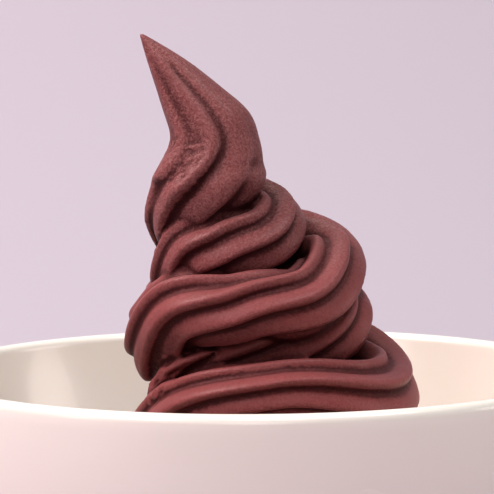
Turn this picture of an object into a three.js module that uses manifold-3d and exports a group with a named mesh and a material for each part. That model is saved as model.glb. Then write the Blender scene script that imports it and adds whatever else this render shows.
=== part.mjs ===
// A bowl of acai soft serve: a plain glazed bowl and the swirl that stands in it.
// Millimetres, +Z up. The origin is the centre of the bowl's foot, on the table.
import * as THREE from "three";
import { mergeVertices } from "three/addons/utils/BufferGeometryUtils.js";
import Module from "manifold-3d";

const wasm = await Module();
wasm.setup();

// ---- driving dimensions: the bowl -----------------------------------------
const rimRadius = 82.5;        // outside of the lip
const rimHeight = 68;          // top of the lip above the table
const lipRadius = 2.25;        // the lip is a half round
const footRadius = 41;         // outside of the foot ring
const footWidth = 5;           // flat width of the ring that stands on the table
const footHeight = 4;          // the body leaves the ring here
const footRecess = 1.5;        // the middle of the foot is raised by this
const floorTop = 7;            // top of the floor inside
const bowlFacets = 64;         // round the bowl
const wallPoints = 7;          // on each wall curve
const clearance = 0.3;         // between the bowl and what it holds

// ---- driving dimensions: the rope of soft serve ----------------------------
const lobes = 7;               // points of the star nozzle
const valley = 0.27;           // where a groove's bottom lies, from one ridge down to the next
const steepness = 1.3;         // how the ridge falls off underneath
const fullness = 0.8;          // and how full it swells above
const pointsPerLobe = 4;
const stepsPerQuarter = 6;     // sections along each quarter turn that shows
const lowerSteps = 4;          // and along those below the rim
const tightestBend = 0.92;     // of the bend's own radius: the inside is pressed flat there
const sliver = 0.04;           // edges shorter than this, left where turns join, are merged

// The coils wind up counterclockwise. Each row is a quarter turn, in the order left, front,
// right, back: reach of the rope's centre from the bowl's axis, height above the rim, half
// width, half height, the compass angle of one ridge, which the nozzle keeps nearly still, how
// far the rope sags half-way to the next row, and the depth of its grooves.
const coils = [
  [-21.2, -16.2, 10.2, 9.5, 216, -2.0, 0.20],
  [-24.4, -2.2, 10.2, 7.4, 250, 1.0, 0.38],
  [31.6, -6.2, 10.0, 11.3, 320, -0.3, 0.34],
  [25.3, 5.0, 10.9, 10.0, 298, -0.8, 0.28],
  [-15.8, 0.2, 9.4, 8.7, 250, 0.0, 0.20],
  [-9.4, 4.6, 9.5, 8.9, 247, 0.0, 0.32],
  [20.2, 11.9, 9.8, 10.1, 244, -0.8, 0.28],
  [20.0, 14.8, 9.9, 9.5, 240, -3.6, 0.28],
  [-23.3, 7.4, 9.4, 12.2, 247, -4.2, 0.22],
  [-18.8, 16.8, 10.2, 8.8, 231, 2.7, 0.38],
  [19.2, 23.8, 9.2, 10.8, 244, -0.1, 0.32],
  [17.2, 29.8, 10.4, 9.4, 240, -0.7, 0.28],
  [-17.5, 23.8, 8.6, 10.4, 247, -2.6, 0.22],
  [-8.3, 30.8, 9.7, 9.5, 236, 0.8, 0.38],
  [4.0, 35.2, 9.3, 9.7, 259, 0.0, 0.32],
  [11.1, 39.7, 8.9, 9.8, 252, 5.4, 0.28],
  [-18.7, 38.6, 8.8, 10.4, 245, 0.0, 0.26],
];

// The last turn is pulled up into a leaning cone: x, y, height above the rim, half width,
// half depth, the same ridge's angle, and the groove depth beside that ridge.
const peak = [
  [-11.9, -3.4, 46.0, 14.2, 11.5, 248, 0.38],
  [-10.3, -3.2, 51.5, 12.8, 11.0, 264, 0.28],
  [-9.5, -2.2, 57.0, 11.1, 10.2, 270, 0.22],
  [-11.6, -1.0, 63.5, 10.6, 9.2, 264, 0.20],
  [-16.2, -0.2, 70.0, 8.0, 7.2, 260, 0.20],
  [-21.4, 0.2, 76.5, 4.8, 4.5, 256, 0.20],
  [-27.5, 0.0, 82.9, 0.45, 0.45, 260, 0.18],
];
const peakUpright = 1.5;             // quarter turns over which the sections turn level
const peakPlain = 0.9;               // how much shallower the grooves away from the ridge are
const peakFocus = 16;                // how soon they get shallow, beside the ridge
const peakLead = 8;                  // how far behind the axis the cone's curve is led in

// Below the rim two plain turns carry the coils, from the floor up.
const lowerTurns = 2;
const lowerCentreX = 4.5;
const lowerRadius = [30, 26.5];      // bottom, top
const lowerHalfWidth = 11.5;
const lowerHalfHeight = 10;

// The middle of the stack is filled: x, y, height above the rim, radius.
const core = [
  [4.5, 0, -60.9, 30],
  [4.5, 0, -40, 28],
  [4.5, 0, -12, 23],
  [1, 0, 3, 15.5],
  [0, 0, 10, 15.5],
  [-3, 0, 22, 11],
  [-6, 0, 32, 7],
  [-10, 0, 44, 5],
];

// A fold is squeezed out at the left, between the first coil and the third.
const fold = [
  [-23.6, -8.0, -9, 3.4],
  [-22.4, -9.5, -3, 3.6],
  [-19.9, -12.5, 1, 3.4],
  [-15.6, -15.0, 3.8, 3.0],
  [-11.0, -16.0, 5.8, 2.0],
];
const coreFacets = 24;
const foldFacets = 12;

// ---- solids ----------------------------------------------------------------
function solidOf(geometry) {
  const bare = geometry.clone();
  bare.deleteAttribute("normal");
  bare.deleteAttribute("uv");
  const merged = mergeVertices(bare, 1e-4);
  return new wasm.Manifold(new wasm.Mesh({
    numProp: 3,
    vertProperties: new Float32Array(merged.attributes.position.array),
    triVerts: new Uint32Array(merged.index.array),
  }));
}

function geometryOf(solid) {
  const mesh = solid.getMesh();
  const geometry = new THREE.BufferGeometry();
  geometry.setAttribute("position", new THREE.BufferAttribute(mesh.vertProperties, 3));
  geometry.setIndex(new THREE.BufferAttribute(mesh.triVerts, 1));
  geometry.computeVertexNormals();
  return geometry;
}

function lathe(points) {
  const geometry = new THREE.LatheGeometry(points, bowlFacets);
  geometry.rotateX(Math.PI / 2);
  return solidOf(geometry);
}

// ---- the bowl --------------------------------------------------------------
// One wall curve from low to high; inset moves it in from the outside of the body.
function wallCurve(inset, bottom) {
  const top = rimHeight - lipRadius;
  const start = new THREE.Vector2(footRadius - inset * 0.6, bottom);
  const belly = new THREE.Vector2(rimRadius - 15 - inset, bottom + (top - bottom) * 0.12);
  const shoulder = new THREE.Vector2(rimRadius - 3.5 - inset, bottom + (top - bottom) * 0.55);
  const end = new THREE.Vector2(rimRadius - inset, top);
  return new THREE.CubicBezierCurve(start, belly, shoulder, end).getPoints(wallPoints);
}

function makeBowl() {
  const wall = 2 * lipRadius;
  const outer = wallCurve(0, footHeight);
  const inner = wallCurve(wall, floorTop).reverse();
  const lip = new THREE.Path();
  lip.absarc(rimRadius - lipRadius, rimHeight - lipRadius, lipRadius, 0, Math.PI, false);
  const profile = [
    new THREE.Vector2(0, footRecess),
    new THREE.Vector2(footRadius - footWidth - footRecess, footRecess),
    new THREE.Vector2(footRadius - footWidth, 0),
    new THREE.Vector2(footRadius - 1, 0),
    new THREE.Vector2(footRadius, 1),
    ...outer,
    ...lip.getPoints(6).slice(1, -1),
    ...inner,
    new THREE.Vector2(0, floorTop),
  ];
  return lathe(profile);
}

// The room inside the bowl, a clearance smaller than the wall, and open far above the rim.
function makeRoom() {
  const inset = 2 * lipRadius + clearance;
  const inner = wallCurve(inset, floorTop + clearance);
  const top = rimHeight + 200;
  return lathe([
    new THREE.Vector2(0, floorTop + clearance),
    ...inner,
    new THREE.Vector2(rimRadius - inset, top),
    new THREE.Vector2(0, top),
  ]);
}

// ---- the path of the rope --------------------------------------------------
function lowerRows() {
  const rows = [];
  const count = 4 * lowerTurns;
  const bottom = floorTop - rimHeight + lowerHalfHeight;
  for (let quarter = 0; quarter < count; quarter += 1) {
    const t = quarter / count;
    const radius = THREE.MathUtils.lerp(lowerRadius[0], lowerRadius[1], t);
    const height = THREE.MathUtils.lerp(bottom, coils[0][1], t);
    const reach = [lowerCentreX - radius, -radius, lowerCentreX + radius, radius][quarter % 4];
    rows.push([reach, height, lowerHalfWidth, lowerHalfHeight, ...coils[0].slice(4)]);
  }
  return rows;
}

// A smooth value between the rows of a table, column by column.
function blendRows(rows, place, column) {
  const last = rows.length - 1;
  const index = Math.min(Math.floor(place), last - 1);
  const t = place - index;
  const b = rows[index][column];
  const c = rows[index + 1][column];
  const a = index > 0 ? rows[index - 1][column] : 2 * b - c;
  const d = index + 2 <= last ? rows[index + 2][column] : 2 * c - b;
  const slope = (c - a) * t;
  const bend = (2 * a - 5 * b + 4 * c - d) * t * t;
  const twist = (3 * b - a - 3 * c + d) * t * t * t;
  return b + (slope + bend + twist) / 2;
}

const coilRows = [...lowerRows(), ...coils];
const coilEnd = coilRows.length - 1;
const pathEnd = coilEnd + peak.length;

// Height, half width, half height, ridge angle and groove depth, over coils and peak in one.
const sizeRows = [
  ...coilRows.map(([, height, halfWidth, halfHeight, ridge, , groove]) => (
    [height, halfWidth, halfHeight, ridge, groove])),
  ...peak.map((row) => row.slice(2)),
];

// The peak's plan, led in so that it carries on from the last coil without a kink.
const peakPlan = [[peak[0][0], peakLead], [coilRows[coilEnd][0], 0], ...peak];

// On the coils the rope runs in half ellipses from its left reach to its right and back.
function coilPlan(place) {
  const half = Math.min(Math.floor(place / 2), coilEnd / 2 - 1);
  const turned = Math.PI * (place / 2 - half);
  const from = coilRows[2 * half][0];
  const depth = coilRows[2 * half + 1][0];
  const to = coilRows[2 * half + 2][0];
  return [from + (to - from) * (1 - Math.cos(turned)) / 2, depth * Math.sin(turned)];
}

function centreAt(wanted) {
  const place = THREE.MathUtils.clamp(wanted, 0, pathEnd);
  const quarter = Math.floor(place);
  const swing = Math.sin(Math.PI * (place - quarter)) ** 2;
  const sag = quarter < coilEnd ? coilRows[quarter][5] * swing : 0;
  const height = rimHeight + blendRows(sizeRows, place, 0) - sag;
  if (place <= coilEnd) return new THREE.Vector3(...coilPlan(place), height);
  const row = place - coilEnd + 1;
  return new THREE.Vector3(blendRows(peakPlan, row, 0), blendRows(peakPlan, row, 1), height);
}

// ---- the rope's section ----------------------------------------------------
// From one ridge down to the next: 0 on a ridge and 1 at the groove's bottom.
function grooveShape(part) {
  if (part < valley) return (part / valley) ** steepness;
  return 1 - ((part - valley) / (1 - valley)) ** fullness;
}

// Level is 0 on the coils and 1 on the cone, which is plainer away from its main ridge.
function starRadius(index, groove, level) {
  const near = Math.cos(Math.PI * index / (lobes * pointsPerLobe)) ** peakFocus;
  const depth = groove * (1 - peakPlain * level * (1 - near));
  return 1 - depth * grooveShape((index % pointsPerLobe) / pointsPerLobe);
}

// The nozzle hangs upright, and the rope bends from it into its path without twisting. Up the
// cone the sections turn level.
function ropeSection(place) {
  const centre = centreAt(place);
  const reach = 0.05;
  const before = centreAt(place - reach);
  const after = centreAt(place + reach);
  const up = new THREE.Vector3(0, 0, 1);
  const level = THREE.MathUtils.smoothstep(place, coilEnd, coilEnd + peakUpright);
  const heading = after.clone().sub(before).normalize().lerp(up, level).normalize();
  const bend = after.clone().add(before).sub(centre.clone().multiplyScalar(2));
  const step = after.distanceTo(before) / 2;
  const bendRadius = step * step / Math.max(bend.length(), 1e-6) / Math.max(1 - level, 1e-3);
  bend.normalize();
  const turn = new THREE.Quaternion().setFromUnitVectors(up, heading);
  const [, halfWidth, halfHeight, ridge, groove] = [0, 1, 2, 3, 4].map((column) => (
    blendRows(sizeRows, place, column)));
  const halfDepth = THREE.MathUtils.lerp(halfWidth, halfHeight, level);
  const size = new THREE.Vector3(halfWidth, halfDepth, halfHeight);
  const section = [];
  const count = lobes * pointsPerLobe;
  for (let i = 0; i < count; i += 1) {
    const angle = THREE.MathUtils.degToRad(ridge) + 2 * Math.PI * i / count;
    const offset = new THREE.Vector3(Math.cos(angle), Math.sin(angle), 0);
    offset.multiplyScalar(starRadius(i, groove, level)).applyQuaternion(turn).multiply(size);
    const inward = offset.dot(bend) - tightestBend * bendRadius;
    if (inward > 0) offset.addScaledVector(bend, -inward);
    section.push(centre.clone().add(offset));
  }
  return { centre, section };
}

// A column of level rings.
function column(rows, facets) {
  return skin(rows.map(([x, y, height, radius]) => {
    const centre = new THREE.Vector3(x, y, rimHeight + height);
    const section = [];
    for (let i = 0; i < facets; i += 1) {
      const angle = 2 * Math.PI * i / facets;
      const offset = new THREE.Vector3(radius * Math.cos(angle), radius * Math.sin(angle), 0);
      section.push(centre.clone().add(offset));
    }
    return { centre, section };
  }));
}

// Skin over a row of sections, closed at both ends.
function skin(sections) {
  const count = sections[0].section.length;
  const positions = [];
  sections.forEach(({ section }) => section.forEach((corner) => positions.push(...corner.toArray())));
  const first = positions.length / 3;
  positions.push(...sections[0].centre.toArray());
  positions.push(...sections[sections.length - 1].centre.toArray());
  const index = [];
  for (let row = 0; row < sections.length - 1; row += 1) {
    for (let i = 0; i < count; i += 1) {
      const a = row * count + i;
      const b = row * count + (i + 1) % count;
      index.push(a, b, b + count);
      index.push(a, b + count, a + count);
    }
  }
  const top = (sections.length - 1) * count;
  for (let i = 0; i < count; i += 1) {
    const next = (i + 1) % count;
    index.push(first, next, i);
    index.push(first + 1, top + i, top + next);
  }
  const geometry = new THREE.BufferGeometry();
  geometry.setAttribute("position", new THREE.Float32BufferAttribute(positions, 3));
  geometry.setIndex(index);
  return solidOf(geometry);
}

// ---- the swirl -------------------------------------------------------------
// Half turn by half turn the rope is joined, with the core, and cut to the bowl's room.
function makeSwirl() {
  let swirl = column(core, coreFacets).add(column(fold, foldFacets));
  for (let start = 0; start < pathEnd; start += 2) {
    const quarters = Math.min(2, pathEnd - start);
    const steps = quarters * (start < 4 * lowerTurns - 2 ? lowerSteps : stepsPerQuarter);
    const sections = [];
    for (let step = 0; step <= steps; step += 1) {
      sections.push(ropeSection(start + quarters * step / steps));
    }
    swirl = swirl.add(skin(sections));
  }
  return keepLargest(swirl.intersect(makeRoom()).simplify(sliver));
}

// Fills what the joining seals in and drops loose scraps.
function keepLargest(solid) {
  const pieces = solid.decompose();
  return pieces.reduce((best, piece) => (piece.volume() > best.volume() ? piece : best));
}

const object = new THREE.Group();

const glaze = new THREE.MeshStandardMaterial({ color: 0xf3e6df, roughness: 0.28, metalness: 0 });
const bowl = new THREE.Mesh(geometryOf(makeBowl()), glaze);
bowl.name = "bowl";
object.add(bowl);

const acai = new THREE.MeshStandardMaterial({ color: 0x6e2f31, roughness: 0.55, metalness: 0 });
const softServe = new THREE.Mesh(geometryOf(makeSwirl()), acai);
softServe.name = "soft_serve";
object.add(softServe);

export default object;
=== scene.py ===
# Acai soft serve in a glazed bowl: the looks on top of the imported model, in metres.
# The photograph is 494 by 494 pixels, and the camera stands where it was taken from.
import math

import bpy
from mathutils import Matrix, Quaternion, Vector, noise


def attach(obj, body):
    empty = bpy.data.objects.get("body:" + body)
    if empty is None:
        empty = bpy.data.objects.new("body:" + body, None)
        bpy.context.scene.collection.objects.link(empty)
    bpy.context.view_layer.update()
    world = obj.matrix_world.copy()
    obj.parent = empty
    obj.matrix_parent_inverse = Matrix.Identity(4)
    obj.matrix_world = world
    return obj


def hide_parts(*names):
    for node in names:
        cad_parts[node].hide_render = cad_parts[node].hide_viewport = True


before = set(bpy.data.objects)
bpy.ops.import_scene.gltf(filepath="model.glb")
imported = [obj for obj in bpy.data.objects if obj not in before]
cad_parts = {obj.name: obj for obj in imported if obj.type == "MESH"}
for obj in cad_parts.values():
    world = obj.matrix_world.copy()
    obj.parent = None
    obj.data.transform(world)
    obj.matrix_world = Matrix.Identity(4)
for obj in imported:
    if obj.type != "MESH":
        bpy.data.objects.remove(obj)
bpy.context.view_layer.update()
mm = 0.001


def tell(text):
    print("acai bowl:", text)


# ---- small helpers for working as by hand
def deselectAll():
    if bpy.context.object and bpy.context.object.mode != "OBJECT":
        bpy.ops.object.mode_set(mode="OBJECT")
    bpy.ops.object.select_all(action="DESELECT")


def workOn(piece):
    deselectAll()
    piece.select_set(True)
    bpy.context.view_layer.objects.active = piece


def startEdit(piece):
    workOn(piece)
    bpy.ops.object.mode_set(mode="EDIT")


def endEdit():
    bpy.ops.object.mode_set(mode="OBJECT")


def nameNew(name):
    piece = bpy.context.object
    piece.name = name
    piece.data.name = name
    return piece


def addModifier(piece, kind, **settings):
    modifier = piece.modifiers.new(kind.lower(), kind)
    for setting, value in settings.items():
        setattr(modifier, setting, value)
    return modifier


def applyModifier(piece, modifier):
    workOn(piece)
    bpy.ops.object.modifier_apply(modifier=modifier.name)


def cubicPoint(a, b, c, d, t):
    s = 1 - t
    return [s ** 3 * p + 3 * s * s * t * q + 3 * s * t * t * r + t ** 3 * e
            for p, q, r, e in zip(a, b, c, d)]


# A profile drawn point by point in the XZ plane and spun once round the bowl's axis.
def spinProfile(name, profile, steps):
    deselectAll()
    bpy.ops.mesh.primitive_plane_add(size=mm, location=(0, 0, 0))
    piece = nameNew(name)
    startEdit(piece)
    bpy.ops.mesh.merge(type="CENTER")                     # one point is left to draw with
    bpy.ops.transform.translate(value=(profile[0][0], 0, profile[0][1]))
    for before, after in zip(profile, profile[1:]):
        step = (after[0] - before[0], 0, after[1] - before[1])
        bpy.ops.mesh.extrude_vertices_move(TRANSFORM_OT_translate={"value": step})
    bpy.ops.mesh.select_all(action="SELECT")
    bpy.ops.mesh.spin(steps=steps, angle=math.tau, center=(0, 0, 0), axis=(0, 0, 1))
    bpy.ops.mesh.select_all(action="SELECT")
    bpy.ops.mesh.remove_doubles(threshold=bowl["weld"])
    bpy.ops.mesh.normals_make_consistent(inside=False)
    endEdit()
    return piece


# ---- the camera, first
camera = {
    "place": (0, -0.6226, 0.1498),
    "pitch": 4.77,        # degrees down
    "yaw": -0.152,
    "roll": -0.351,
    "focalPixels": 2512,
    "imagePixels": 494,
    "sensor": 36,         # millimetres
    "clip": (0.01, 20),
}


def makeCamera():
    pitch, yaw, roll = (math.radians(camera[k]) for k in ("pitch", "yaw", "roll"))
    ahead = Vector((math.sin(yaw) * math.cos(pitch), math.cos(yaw) * math.cos(pitch), -math.sin(pitch)))
    level = Vector((math.cos(yaw), -math.sin(yaw), 0))
    above = level.cross(ahead)
    right = level * math.cos(roll) + above * math.sin(roll)
    up = above * math.cos(roll) - level * math.sin(roll)
    bpy.ops.object.camera_add()
    made = nameNew("camera")
    turned = Matrix((right, up, -ahead)).transposed().to_4x4()
    made.matrix_world = Matrix.Translation(camera["place"]) @ turned
    made.data.sensor_width = camera["sensor"]
    made.data.lens = camera["sensor"] * camera["focalPixels"] / camera["imagePixels"]
    made.data.clip_start, made.data.clip_end = camera["clip"]
    bpy.context.scene.camera = made


makeCamera()
tell("camera placed")

# ---- the bowl
bowl = {
    "rimRadius": 82.5 * mm,
    "rimHeight": 68 * mm,
    "lipRadius": 2.25 * mm,
    "footRadius": 41 * mm,
    "footWidth": 5 * mm,
    "footHeight": 4 * mm,
    "footRecess": 1.5 * mm,
    "recessEdge": 2.2 * mm,
    # the ring's rounded edges: across from its inner and its outer side, and the height
    "ringInside": [(-1.4 * mm, 1.2 * mm), (-0.3 * mm, 0.2 * mm), (0.2 * mm, 0)],
    "ringOutside": [(-1.2 * mm, 0), (-0.4 * mm, 0.3 * mm), (0, 1.1 * mm)],
    "floorTop": 7 * mm,
    # the wall's curve between foot and rim: in from the rim, and the share of the height
    "belly": (15 * mm, 0.12),
    "shoulder": (3.5 * mm, 0.55),
    "footDraw": 0.6,       # how much of the wall's thickness the curve's foot moves in
    "wallPoints": 40,
    "lipPoints": 12,
    "spinSteps": 160,
    "creaseAngle": 50,
    "weld": 0.01 * mm,
}


def wallCurve(inset, bottom, points):
    top = bowl["rimHeight"] - bowl["lipRadius"]
    rim = bowl["rimRadius"] - inset
    corners = [(bowl["footRadius"] - bowl["footDraw"] * inset, bottom)]
    for drawn, share in (bowl["belly"], bowl["shoulder"]):
        corners.append((rim - drawn, bottom + share * (top - bottom)))
    corners.append((rim, top))
    return [cubicPoint(*corners, i / points) for i in range(points + 1)]


def bowlProfile():
    foot = bowl["footRadius"]
    inside = foot - bowl["footWidth"]
    lip = bowl["lipRadius"]
    middle = (bowl["rimRadius"] - lip, bowl["rimHeight"] - lip)
    turns = [math.pi * i / bowl["lipPoints"] for i in range(1, bowl["lipPoints"])]
    return [
        (0, bowl["footRecess"]),
        (inside - bowl["recessEdge"], bowl["footRecess"]),
        *[(inside + across, height) for across, height in bowl["ringInside"]],
        *[(foot + across, height) for across, height in bowl["ringOutside"]],
        *wallCurve(0, bowl["footHeight"], bowl["wallPoints"]),
        *[(middle[0] + lip * math.cos(t), middle[1] + lip * math.sin(t)) for t in turns],
        *reversed(wallCurve(2 * lip, bowl["floorTop"], bowl["wallPoints"])),
        (0, bowl["floorTop"]),
    ]


# The wall's inner side is marked, so that its glaze can be made paler there: painted light on the inner wall.
def markPaintedInnerLight(piece):
    inside = piece.data.attributes.new("inside", "FLOAT", "POINT")
    for vertex, mark in zip(piece.data.vertices, inside.data):
        flat = Vector((vertex.co.x, vertex.co.y, 0))
        mark.value = 0.5 - 0.5 * vertex.normal.dot(flat.normalized())


def makeBowl():
    piece = spinProfile("bowl_glazed", bowlProfile(), bowl["spinSteps"])
    markPaintedInnerLight(piece)
    workOn(piece)
    bpy.ops.object.shade_smooth_by_angle(angle=math.radians(bowl["creaseAngle"]))
    return piece


glazedBowl = makeBowl()
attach(glazedBowl, "root")
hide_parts("bowl")
tell("bowl spun")

# ---- the swirl
swirl = {
    "lobes": 7,
    # a ridge falls off steeply below and softly above: where the groove's bottom lies
    # between two ridges, how full the soft side is, and how far the edges are rounded
    "valley": 0.27,
    "steepness": 1.3,
    "fullness": 0.8,
    "rounding": 0.07,
    "pointsPerLobe": 16,
    "stepsPerQuarter": 24,
    # the inside of a bend is pressed flat from this share of its limit on, and the limit
    # is this share of the bend's own radius
    "pressFrom": 0.6,
    "tightestBend": 0.92,
    "headingReach": 0.05,    # quarter turns before and after that give a section's heading
    "weld": 0.0005 * mm,
    "clearance": 0.3 * mm,   # between the swirl and the bowl
    "openAbove": 0.2,        # how far above the rim the room for the swirl reaches
    "voxel": 0.6 * mm,
    "hiddenBelow": 52 * mm,  # below this, down in the bowl, the faces are thinned
    "keptShare": 0.64,       # until this share of all faces is left
    # left, front, right and back of each turn: reach, height above the rim, half width,
    # half height, compass angle of one ridge, sag half-way to the next row, groove depth
    "coils": [
        (-21.2, -16.2, 10.2, 9.5, 216, -2.0, 0.20), (-24.4, -2.2, 10.2, 7.4, 250, 1.0, 0.38),
        (31.6, -6.2, 10.0, 11.3, 320, -0.3, 0.34), (25.3, 5.0, 10.9, 10.0, 298, -0.8, 0.28),
        (-15.8, 0.2, 9.4, 8.7, 250, 0.0, 0.20), (-9.4, 4.6, 9.5, 8.9, 247, 0.0, 0.32),
        (20.2, 11.9, 9.8, 10.1, 244, -0.8, 0.28), (20.0, 14.8, 9.9, 9.5, 240, -3.6, 0.28),
        (-23.3, 7.4, 9.4, 12.2, 247, -4.2, 0.22), (-18.8, 16.8, 10.2, 8.8, 231, 2.7, 0.38),
        (19.2, 23.8, 9.2, 10.8, 244, -0.1, 0.32), (17.2, 29.8, 10.4, 9.4, 240, -0.7, 0.28),
        (-17.5, 23.8, 8.6, 10.4, 247, -2.6, 0.22), (-8.3, 30.8, 9.7, 9.5, 236, 0.8, 0.38),
        (4.0, 35.2, 9.3, 9.7, 259, 0.0, 0.32), (11.1, 39.7, 8.9, 9.8, 252, 5.4, 0.28),
        (-18.7, 38.6, 8.8, 10.4, 245, 0.0, 0.26),
    ],
    # the cone that the last turn is pulled into: x, y, height above the rim, half width,
    # half depth, ridge, groove depth
    "peak": [
        (-11.9, -3.4, 46.0, 14.2, 11.5, 248, 0.38), (-10.3, -3.2, 51.5, 12.8, 11.0, 264, 0.28),
        (-9.5, -2.2, 57.0, 11.1, 10.2, 270, 0.22), (-11.6, -1.0, 63.5, 10.6, 9.2, 264, 0.20),
        (-16.2, -0.2, 70.0, 8.0, 7.2, 260, 0.20), (-21.4, 0.2, 76.5, 4.8, 4.5, 256, 0.20),
        (-27.5, 0.0, 82.9, 0.45, 0.45, 260, 0.18),
    ],
    "peakLead": 8,
    "peakUpright": 1.5,      # quarter turns over which the cone's sections level out
    "peakPlain": 0.9,        # how much shallower its grooves are away from its main ridge
    "peakFocus": 16,         # how soon they get shallow
    "lowerTurns": 2,
    "lowerCentreX": 4.5,
    "lowerRadius": (30, 26.5),
    "lowerHalfWidth": 11.5,
    "lowerHalfHeight": 10,
    # the filled middle, and a fold squeezed out at the left: x, y, height above the rim, radius
    "core": [
        (4.5, 0, -60.9, 30), (4.5, 0, -40, 28), (4.5, 0, -12, 23), (1, 0, 3, 15.5), (0, 0, 10, 15.5),
        (-3, 0, 22, 11), (-6, 0, 32, 7), (-10, 0, 44, 5),
    ],
    "columnFacets": 64,
    "fold": [
        (-23.6, -8.0, -9, 3.4), (-22.4, -9.5, -3, 3.6), (-19.9, -12.5, 1, 3.4), (-15.6, -15.0, 3.8, 3.0),
        (-11.0, -16.0, 5.8, 2.0),
    ],
    # where the surface runs together: x, y, height above the rim, reach
    "melted": (-23.5, 2, 47.5, 13),
    "meltSteps": 90,
    "spotCore": 1.4,         # how soon a spot is at its full, inwards from its reach
    "swell": 0.05 * mm,      # makes up for what the remesh and the smoothing take away
    # crumpling: spot as above, the way the wrinkles run, their depth and width
    "crumples": [
        ((-20, -13, -3, 10), (0.79, -0.2, 0.6), 0.9, 1.1),
        ((-18, -10, 51, 13), (1, 0, 0.25), 0.24, 0.9),
        ((0, 0, 20, 90), (0.95, 0, 0.3), 0.12, 5),
    ],
    "drawnOut": 0.82,        # how much longer than wide the wrinkles are: 0 not at all, 1 endless
    "crumpleOverlap": 4 * mm,    # how far below hiddenBelow the crumpling still goes
    # what stands out by this much from the softened surface is marked a crest
    "crestHeight": 0.5 * mm,
    "crestSteps": 40,
}


def lowerRows():
    rows = []
    count = 4 * swirl["lowerTurns"]
    rim = bowl["rimHeight"] / mm
    first = swirl["coils"][0]
    bottom = bowl["floorTop"] / mm - rim + swirl["lowerHalfHeight"]
    wide, narrow = swirl["lowerRadius"]
    for quarter in range(count):
        t = quarter / count
        radius = wide + (narrow - wide) * t
        height = bottom + (first[1] - bottom) * t
        middle = swirl["lowerCentreX"]
        reach = (middle - radius, -radius, middle + radius, radius)[quarter % 4]
        rows.append((reach, height, swirl["lowerHalfWidth"], swirl["lowerHalfHeight"], first[4], 0, first[6]))
    return rows


coilRows = lowerRows() + swirl["coils"]
coilEnd = len(coilRows) - 1
pathEnd = coilEnd + len(swirl["peak"])
sizeRows = [(*row[1:5], row[6]) for row in coilRows] + [row[2:] for row in swirl["peak"]]
peakPlan = [(swirl["peak"][0][0], swirl["peakLead"]), (coilRows[coilEnd][0], 0)]
peakPlan += [row[:2] for row in swirl["peak"]]


# A smooth value between the rows of a table.
def blendRows(rows, place, column):
    last = len(rows) - 1
    index = min(int(place), last - 1)
    t = place - index
    b, c = rows[index][column], rows[index + 1][column]
    a = rows[index - 1][column] if index > 0 else 2 * b - c
    d = rows[index + 2][column] if index + 2 <= last else 2 * c - b
    return b + ((c - a) * t + (2 * a - 5 * b + 4 * c - d) * t ** 2 + (3 * b - a - 3 * c + d) * t ** 3) / 2


def ropeCentre(wanted):
    place = min(max(wanted, 0), pathEnd)
    quarter = int(place)
    sag = coilRows[quarter][5] * math.sin(math.pi * (place - quarter)) ** 2 if quarter < coilEnd else 0
    height = bowl["rimHeight"] / mm + blendRows(sizeRows, place, 0) - sag
    if place > coilEnd:
        row = place - coilEnd + 1
        return Vector((blendRows(peakPlan, row, 0), blendRows(peakPlan, row, 1), height))
    half = min(int(place / 2), coilEnd // 2 - 1)
    turned = math.pi * (place / 2 - half)
    start, depth, end = (coilRows[2 * half + i][0] for i in range(3))
    return Vector((start + (end - start) * (1 - math.cos(turned)) / 2, depth * math.sin(turned), height))


def smooth(t):
    t = min(max(t, 0), 1)
    return t * t * (3 - 2 * t)


# From ridge to ridge downwards: 0 on a ridge and 1 at the groove's bottom.
def grooveShape(part):
    valley = swirl["valley"]
    if part < valley:
        return (part / valley) ** swirl["steepness"]
    return 1 - ((part - valley) / (1 - valley)) ** swirl["fullness"]


def starRadius(turn, groove, level):
    near = math.cos(math.pi * turn) ** swirl["peakFocus"]
    groove *= 1 - swirl["peakPlain"] * level * (1 - near)
    part = turn * swirl["lobes"]
    spread = [swirl["rounding"] * step / 2 for step in range(-2, 3)]
    return 1 - groove * sum(grooveShape((part + away) % 1) for away in spread) / len(spread)


# One section of the rope, as the nozzle lays it: bent into the path without twisting.
def ropeSection(place, count):
    centre = ropeCentre(place)
    reach = swirl["headingReach"]
    before, after = ropeCentre(place - reach), ropeCentre(place + reach)
    level = smooth((place - coilEnd) / swirl["peakUpright"])
    heading = (after - before).normalized().lerp(Vector((0, 0, 1)), level).normalized()
    bend = after + before - 2 * centre
    step = (after - before).length / 2
    bendRadius = step * step / max(bend.length, 1e-6) / max(1 - level, 1e-3)
    bend.normalize()
    turn = Vector((0, 0, 1)).rotation_difference(heading)
    width, height = blendRows(sizeRows, place, 1), blendRows(sizeRows, place, 2)
    depth = width + (height - width) * level
    ridge = math.radians(blendRows(sizeRows, place, 3))
    groove = blendRows(sizeRows, place, 4)
    limit = swirl["tightestBend"] * bendRadius
    free = swirl["pressFrom"] * limit
    section = []
    for i in range(count):
        angle = ridge + math.tau * i / count
        offset = turn @ (Vector((math.cos(angle), math.sin(angle), 0)) * starRadius(i / count, groove, level))
        offset = Vector((offset.x * width, offset.y * depth, offset.z * height))
        inward = offset.dot(bend)
        if inward > free:
            pressed = free + (limit - free) * (1 - math.exp((free - inward) / (limit - free)))
            offset += bend * (pressed - inward)
        section.append((centre + offset) * mm)
    return section


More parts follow.
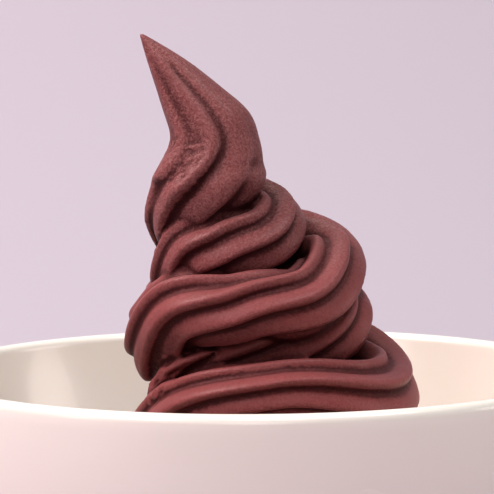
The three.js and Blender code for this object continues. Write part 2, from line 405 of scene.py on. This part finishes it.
# A flat grid is rolled up section by section and laid along the path.
def makeRope():
    around = swirl["lobes"] * swirl["pointsPerLobe"]
    along = pathEnd * swirl["stepsPerQuarter"]
    deselectAll()
    bpy.ops.mesh.primitive_grid_add(x_subdivisions=around, y_subdivisions=along, size=1)
    rope = nameNew("rope")
    sections = [ropeSection(j / swirl["stepsPerQuarter"], around) for j in range(along + 1)]
    for vertex in rope.data.vertices:
        i = round((vertex.co.x + 0.5) * around)
        j = round((vertex.co.y + 0.5) * along)
        vertex.co = sections[j][i % around]
    startEdit(rope)
    bpy.ops.mesh.select_all(action="SELECT")
    bpy.ops.mesh.remove_doubles(threshold=swirl["weld"])
    bpy.ops.mesh.select_all(action="DESELECT")
    bpy.ops.mesh.select_non_manifold()
    bpy.ops.mesh.edge_face_add()
    bpy.ops.mesh.select_all(action="SELECT")
    bpy.ops.mesh.normals_make_consistent(inside=False)
    endEdit()
    return rope


# A column extruded ring by ring.
def makeColumn(name, rows):
    deselectAll()
    rim = bowl["rimHeight"] / mm
    x, y, height, radius = rows[0]
    bpy.ops.mesh.primitive_circle_add(vertices=swirl["columnFacets"], radius=radius * mm, fill_type="NGON",
                                      location=(x * mm, y * mm, (rim + height) * mm))
    column = nameNew(name)
    bpy.ops.object.transform_apply(location=True)
    startEdit(column)
    bpy.ops.mesh.select_all(action="SELECT")
    for (x0, y0, z0, r0), (x1, y1, z1, r1) in zip(rows, rows[1:]):
        lift = ((x1 - x0) * mm, (y1 - y0) * mm, (z1 - z0) * mm)
        bpy.ops.mesh.extrude_region_move(TRANSFORM_OT_translate={"value": lift})
        bpy.ops.transform.resize(value=(r1 / r0, r1 / r0, 1),
                                 center_override=(x1 * mm, y1 * mm, (rim + z1) * mm))
    bpy.ops.mesh.select_all(action="SELECT")
    bpy.ops.mesh.normals_make_consistent(inside=False)
    endEdit()
    return column


# 1 at a spot of the surface and 0 from its reach outwards.
def nearness(point, spot):
    x, y, height, reach = spot
    away = point / mm - Vector((x, y, bowl["rimHeight"] / mm + height))
    return smooth(swirl["spotCore"] * (1 - away.length / reach))


# Wrinkles drawn out along the way the cream slid, and a slight unevenness everywhere.
def crumple(piece):
    normals = [v.normal.copy() for v in piece.data.vertices]
    lowest = swirl["hiddenBelow"] - swirl["crumpleOverlap"]
    for vertex, normal in zip(piece.data.vertices, normals):
        point = vertex.co / mm
        if vertex.co.z < lowest:
            continue
        lift = swirl["swell"]
        for spot, way, depth, width in swirl["crumples"]:
            near = nearness(vertex.co, spot)
            if near:
                slide = Vector(way).normalized()
                drawn = point - swirl["drawnOut"] * slide * point.dot(slide)
                lift += mm * depth * near * noise.noise(drawn / width)
        vertex.co += normal * lift


# The crests are marked light and the hollows dark, by how far each point stands out from the smoothed
# surface: the hollows darker as painted shade, the crests lighter partly as frost and partly as painted
# light.
def markCrests(piece):
    workOn(piece)
    bpy.ops.object.duplicate()
    softer = bpy.context.object
    applyModifier(softer, addModifier(softer, "SMOOTH", factor=0.5, iterations=swirl["crestSteps"]))
    crest = piece.data.attributes.new("crest", "FLOAT", "POINT")
    for here, there, mark in zip(piece.data.vertices, softer.data.vertices, crest.data):
        mark.value = 0.5 + (here.co - there.co).dot(here.normal) / swirl["crestHeight"]
    bpy.data.objects.remove(softer)


# The room inside the bowl, a clearance smaller than its wall.
def makeRoom():
    inset = 2 * bowl["lipRadius"] + swirl["clearance"]
    floor = bowl["floorTop"] + swirl["clearance"]
    top = bowl["rimHeight"] + swirl["openAbove"]
    wall = wallCurve(inset, floor, bowl["wallPoints"])
    profile = [(0, floor), *wall, (bowl["rimRadius"] - inset, top), (0, top)]
    return spinProfile("room", profile, bowl["spinSteps"])


def makeSwirl():
    rope = makeRope()
    parts = [rope, makeColumn("core", swirl["core"]), makeColumn("fold", swirl["fold"])]
    tell("rope laid")
    deselectAll()
    for part in parts:
        part.select_set(True)
    bpy.context.view_layer.objects.active = rope
    bpy.ops.object.join()
    piece = nameNew("acai_swirl")
    applyModifier(piece, addModifier(piece, "REMESH", mode="VOXEL", voxel_size=swirl["voxel"]))
    tell(f"remeshed, {len(piece.data.polygons)} faces")
    room = makeRoom()
    applyModifier(piece, addModifier(piece, "BOOLEAN", operation="INTERSECT", object=room, solver="MANIFOLD"))
    bpy.data.objects.remove(room)
    hidden = piece.vertex_groups.new(name="hidden")
    hidden.add([v.index for v in piece.data.vertices if v.co.z < swirl["hiddenBelow"]], 1, "REPLACE")
    applyModifier(piece, addModifier(piece, "DECIMATE", ratio=swirl["keptShare"], vertex_group="hidden"))
    melted = piece.vertex_groups.new(name="melted")
    for vertex in piece.data.vertices:
        melted.add([vertex.index], nearness(vertex.co, swirl["melted"]), "REPLACE")
    applyModifier(piece, addModifier(piece, "SMOOTH", factor=0.5, iterations=swirl["meltSteps"],
                                     vertex_group="melted"))
    piece.vertex_groups.clear()
    crumple(piece)
    markCrests(piece)
    workOn(piece)
    bpy.ops.object.shade_smooth()
    return piece


softServe = makeSwirl()
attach(softServe, "root")
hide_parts("soft_serve")
tell(f"swirl made, {len(softServe.data.polygons)} faces")


# ---- finishes
# A socket that can be reckoned with: each sign adds the Math node that it stands for.
class Wire:
    def __init__(self, socket):
        self.socket = socket

    def node(self, kind, settings, values, out=0):
        tree = self.socket.id_data
        made = tree.nodes.new(kind)
        for setting, value in settings.items():
            setattr(made, setting, value)
        for place, value in values.items():
            if isinstance(value, Wire):
                tree.links.new(value.socket, made.inputs[place])
            else:
                made.inputs[place].default_value = value
        return Wire(made.outputs[out])

    def sum(self, operation, first, second):
        return self.node("ShaderNodeMath", {"operation": operation}, {0: first, 1: second})

    def __add__(self, other):
        return self.sum("ADD", self, other)

    def __radd__(self, other):
        return self.sum("ADD", other, self)

    def __sub__(self, other):
        return self.sum("SUBTRACT", self, other)

    def __rsub__(self, other):
        return self.sum("SUBTRACT", other, self)

    def __mul__(self, other):
        return self.sum("MULTIPLY", self, other)

    def __rmul__(self, other):
        return self.sum("MULTIPLY", other, self)

    def between(self, low, high):
        return self.node("ShaderNodeMapRange", {"interpolation_type": "SMOOTHSTEP"},
                         {"Value": self, "From Min": low, "From Max": high})

    def tint(self, dark, light):
        return self.node("ShaderNodeMix", {"data_type": "RGBA"}, {0: self, 6: dark, 7: light}, 2)

    def grain(self, scale, detail=2, roughness=0.5):
        return self.node("ShaderNodeTexNoise", {},
                         {"Vector": self, "Scale": scale, "Detail": detail, "Roughness": roughness})


def newFinish(name, settings):
    material = bpy.data.materials.new(name)
    material.use_nodes = True
    tree = material.node_tree
    shader = tree.nodes["Principled BSDF"]
    for socket, value in settings.items():
        shader.inputs[socket].default_value = value
    place = tree.nodes.new("ShaderNodeTexCoord").outputs["Object"]
    return material, shader, Wire(place)


def plug(shader, socket, wire):
    shader.id_data.links.new(wire.socket, shader.inputs[socket])


# Each material's own values. A pair of colours is dark and light, and a grain is the
# number of noise cells to a metre, the octaves, and how rough they are.
glaze = {
    "gloss": {"Specular IOR Level": 0.5, "Coat Weight": 0.3, "Coat Roughness": 0.08},
    "outside": ((0.86, 0.77, 0.70, 1), (0.90, 0.815, 0.74, 1)),
    # painted light: the inner wall's glaze colour, paler than the outside, and the marks over which it blends
    # in
    "inside": (0.93, 0.83, 0.75, 1),
    "paintedInnerLightFrom": (0.35, 0.75),
    "clay": ((0.50, 0.40, 0.33, 1), (0.62, 0.52, 0.44, 1)),
    "glazedFrom": (0.0012, 0.0022),      # heights: the foot ring is left bare
    "clayRoughness": 0.72,
    "glazeSmoothness": 0.48,
    "cloudRoughness": 0.05,
    "cloudGrain": (18, 3),
    "clayGrain": (900, 4),
    "peelGrains": ((160, 2), (1500, 2)),
    "finePeel": 0.25,
    "bump": {"Strength": 0.12, "Distance": 0.0004},
}

acai = {
    "flesh": {
        "Specular IOR Level": 0.15, "Coat Roughness": 0.38, "Coat IOR": 1.35,
        "Subsurface Weight": 0.08, "Subsurface Scale": 0.001, "Subsurface Radius": (1.0, 0.25, 0.2),
    },
    "colours": ((0.04, 0.003, 0.004, 1), (0.235, 0.045, 0.045, 1)),
    "frostAndGlintColour": (0.46, 0.2, 0.195, 1),
    "fineGrain": (1700, 3, 0.7),
    "middleGrain": (800, 3, 0.6),
    "broadGrain": (60, 3),
    # how much each grain, the crests and what faces up lighten the flesh: the grains are the flesh's own
    # tone, the crests partly frost and partly painted light with painted shade in the hollows, and what faces
    # up painted light with painted shade on the undersides
    "shares": {"fine": 0.15, "middle": 0.15, "broad": 0.1, "crest": 0.35, "paintedTopLight": 0.25},
    "facingUpFrom": (-0.7, 0.6),
    "crestsFrom": (0.1, 0.9),
    "fleshRange": (0.25, 0.85),
    # the upper turns are grainier
    "smoothestGrain": 0.3,
    # pale specks on the light flesh: partly frost and partly painted glints
    "grainierBetween": (0.086, 0.108),
    "specksFrom": (0.3, 0.7),
    "speckStrength": 0.4,
    "specksOnLight": (0.3, 0.65),
    "roughness": (0.5, 0.25),            # least, and what the fine grain adds
    # the sheen: everywhere, on the crests, and on what faces up
    "sheen": (0.05, 0.35, 0.05),
    "sheenCrests": (0.4, 1),
    "pitsFrom": (0.3, 0.65),
    "middlePits": 0.5,
    "bump": {"Strength": 0.9, "Distance": 0.0003},
}


def makeGlaze():
    material, shader, place = newFinish("bowl_glaze", glaze["gloss"])
    height = place.node("ShaderNodeSeparateXYZ", {}, {0: place}, 2)
    glazed = height.between(*glaze["glazedFrom"])
    cloud = place.grain(*glaze["cloudGrain"])
    # painted light on the inner wall: the mark mixes its glaze paler
    inside = place.node("ShaderNodeAttribute", {"attribute_name": "inside"}, {}, 2)
    inside = inside.between(*glaze["paintedInnerLightFrom"])
    cream = inside.tint(cloud.tint(*glaze["outside"]), glaze["inside"])
    clay = place.grain(*glaze["clayGrain"]).tint(*glaze["clay"])
    plug(shader, "Base Color", glazed.tint(clay, cream))
    rough = glaze["clayRoughness"] - glaze["glazeSmoothness"] * glazed + glaze["cloudRoughness"] * cloud
    plug(shader, "Roughness", rough)
    broadPeel, finePeel = (place.grain(*grain) for grain in glaze["peelGrains"])
    orangePeel = broadPeel + glaze["finePeel"] * finePeel
    plug(shader, "Normal", place.node("ShaderNodeBump", {}, {**glaze["bump"], "Height": orangePeel}))
    return material


def makeAcai():
    material, shader, place = newFinish("acai", acai["flesh"])
    crest = place.node("ShaderNodeAttribute", {"attribute_name": "crest"}, {}, 2)
    # painted light on what faces up, and painted shade on what faces down
    normal = place.node("ShaderNodeNewGeometry", {}, {}, 1)
    paintedTopLight = place.node("ShaderNodeSeparateXYZ", {}, {0: normal}, 2).between(*acai["facingUpFrom"])
    height = place.node("ShaderNodeSeparateXYZ", {}, {0: place}, 2)
    smoothest = acai["smoothestGrain"]
    grainy = smoothest + (1 - smoothest) * height.between(*acai["grainierBetween"])
    fine, middle, broad = (place.grain(*acai[grain]) for grain in ("fineGrain", "middleGrain", "broadGrain"))
    share = acai["shares"]
    light = share["fine"] * fine + share["middle"] * middle + share["broad"] * broad
    # painted shade in the hollows and painted light on the crests, which are partly frost; painted light on
    # what faces up
    light = light + share["crest"] * crest.between(*acai["crestsFrom"]) + share["paintedTopLight"] * paintedTopLight
    flesh = light.between(*acai["fleshRange"]).tint(*acai["colours"])
    # pale specks where the flesh is light: partly frost and partly painted glints
    specks = grainy * fine.between(*acai["specksFrom"])
    frostAndGlints = acai["speckStrength"] * specks * light.between(*acai["specksOnLight"])
    plug(shader, "Base Color", frostAndGlints.tint(flesh, acai["frostAndGlintColour"]))
    leastRough, addedRough = acai["roughness"]
    plug(shader, "Roughness", leastRough + addedRough * fine)
    everywhere, onCrests, onTop = acai["sheen"]
    sheen = everywhere + onCrests * crest.between(*acai["sheenCrests"]) + onTop * paintedTopLight
    plug(shader, "Coat Weight", sheen)
    pits = grainy * fine.between(*acai["pitsFrom"]) + acai["middlePits"] * middle
    plug(shader, "Normal", place.node("ShaderNodeBump", {}, {**acai["bump"], "Height": pits}))
    return material


glazedBowl.data.materials.clear()
glazedBowl.data.materials.append(makeGlaze())
softServe.data.materials.clear()
softServe.data.materials.append(makeAcai())
for node, finish in (("bowl", "bowl_glaze"), ("soft_serve", "acai")):
    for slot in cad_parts[node].material_slots:
        slot.material = bpy.data.materials[finish]
tell("finishes made")

# ---- the stage: a pale sweep, soft light
stage = {
    "width": 5,
    "front": -1.5,
    "back": 0.35,
    "sweep": 0.4,          # radius of the curve from floor to wall
    "sweepSteps": 16,
    "wallTop": 2.4,
    "paper": {"Roughness": 0.9, "Specular IOR Level": 0.2},
    "colour": (0.525, 0.45, 0.515, 1),
    "world": (0.9, 0.86, 0.92),
    "worldStrength": 0.02,
    "aim": (0, 0, 0.09),
    "distance": 1.2,
    # compass turn from the camera's side to the left, height angle, size, power, colour
    "lights": {
        "keyLeft": (86, 50, 0.6, 14, (0.97, 0.87, 0.84)),
        "frontLeft": (45, 40, 0.5, 4.4, (1.0, 0.87, 0.95)),
        "lowLeft": (59, 10, 0.25, 0.9, (1.0, 0.95, 0.93)),
        "front": (0, 16, 0.5, 2, (1.0, 0.94, 0.95)),
        "frontHigh": (-8, 58, 0.5, 2.8, (1.0, 0.97, 0.84)),
        "highRight": (290, 65, 0.5, 5, (0.6, 0.9, 0.95)),
        "backLeft": (135, 65, 0.5, 3.4, (0.85, 1.0, 0.9)),
        "right": (268, 14, 0.5, 3.2, (1.0, 0.86, 0.82)),
    },
}


def addLight(name, spot, aim, size, power, colour):
    bpy.ops.object.light_add(type="AREA", location=spot)
    light = nameNew(name)
    light.rotation_mode = "QUATERNION"
    light.rotation_quaternion = (Vector(aim) - Vector(spot)).to_track_quat("-Z", "Y")
    light.data.shape = "DISK"
    light.data.size = size
    light.data.energy = power
    light.data.color = colour


def makeStage():
    deselectAll()
    bpy.ops.mesh.primitive_plane_add(size=1)
    sweep = nameNew("sweep")
    half = stage["width"] / 2
    corners = [(-half, stage["front"]), (half, stage["front"]), (-half, stage["back"]), (half, stage["back"])]
    for vertex, (x, y) in zip(sweep.data.vertices, corners):
        vertex.co = (x, y, 0)
    startEdit(sweep)
    bpy.ops.mesh.select_mode(type="EDGE")
    bpy.ops.mesh.select_all(action="DESELECT")
    endEdit()
    for edge in sweep.data.edges:
        edge.select = all(sweep.data.vertices[v].co.y > 0 for v in edge.vertices)      # the back one
    startEdit(sweep)
    steps = stage["sweepSteps"]
    radius = stage["sweep"]
    for i in range(steps):
        a, b = (math.pi / 2 * k / steps for k in (i, i + 1))
        move = (0, radius * (math.sin(b) - math.sin(a)), radius * (math.cos(a) - math.cos(b)))
        bpy.ops.mesh.extrude_region_move(TRANSFORM_OT_translate={"value": move})
    bpy.ops.mesh.extrude_region_move(TRANSFORM_OT_translate={"value": (0, 0, stage["wallTop"] - radius)})
    bpy.ops.mesh.select_all(action="SELECT")
    bpy.ops.mesh.normals_make_consistent(inside=False)
    endEdit()
    if sweep.data.polygons[0].normal.z < 0:
        sweep.data.flip_normals()
    workOn(sweep)
    bpy.ops.object.shade_smooth()
    material, shader, place = newFinish("sweep_paper", {"Base Color": stage["colour"], **stage["paper"]})
    # seen from behind the wall is clear, so that it hides nothing
    behind = place.node("ShaderNodeNewGeometry", {}, {}, 6)
    clear = place.node("ShaderNodeBsdfTransparent", {}, {})
    oneSided = place.node("ShaderNodeMixShader", {}, {0: behind, 1: Wire(shader.outputs[0]), 2: clear})
    plug(material.node_tree.nodes["Material Output"], "Surface", oneSided)
    sweep.data.materials.append(material)
    world = bpy.data.worlds.new("studio")
    bpy.context.scene.world = world
    bpy.context.scene.view_settings.view_transform = "Standard"
    world.use_nodes = True
    sky = world.node_tree.nodes["Background"]
    sky.inputs["Color"].default_value = (*stage["world"], 1)
    sky.inputs["Strength"].default_value = stage["worldStrength"]
    aim = Vector(stage["aim"])
    for name, (turn, rise, size, power, colour) in stage["lights"].items():
        across, up = math.radians(turn), math.radians(rise)
        way = Vector((-math.sin(across) * math.cos(up), -math.cos(across) * math.cos(up), math.sin(up)))
        addLight(name, aim + way * stage["distance"], aim, size, power, colour)


makeStage()
tell("stage set")
